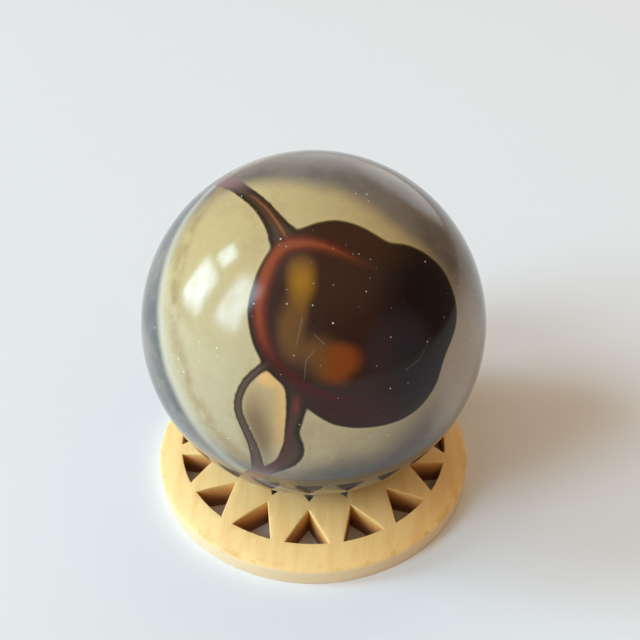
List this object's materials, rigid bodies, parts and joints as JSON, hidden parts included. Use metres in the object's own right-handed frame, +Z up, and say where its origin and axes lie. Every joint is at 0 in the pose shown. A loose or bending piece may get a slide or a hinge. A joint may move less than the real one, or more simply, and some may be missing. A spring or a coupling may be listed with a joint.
{
  "type": "decorative stone sphere on a pierced wooden stand",
  "caption": "Polished patterned stone sphere resting in the pointed petals of a low pierced wooden ring stand.",
  "frame": {"origin": "centre of the stand's underside, on the surface it stands on", "axes": "+Z up through the centres of the stand and the sphere; one triangular piercing is centred on -Y, the side of the stone's dark patch"},
  "size_m": [0.0564, 0.0564, 0.0578],
  "materials": {
    "polished_stone": "mirror polish, olive-grey ground with maroon, rust and ochre patches",
    "pale_wood": "bare sanded pale wood with fine fibres"
  },
  "bodies": {
    "root": {"stone_sphere": "polished_stone", "wooden_stand": "pale_wood"}
  },
  "joints": []
}
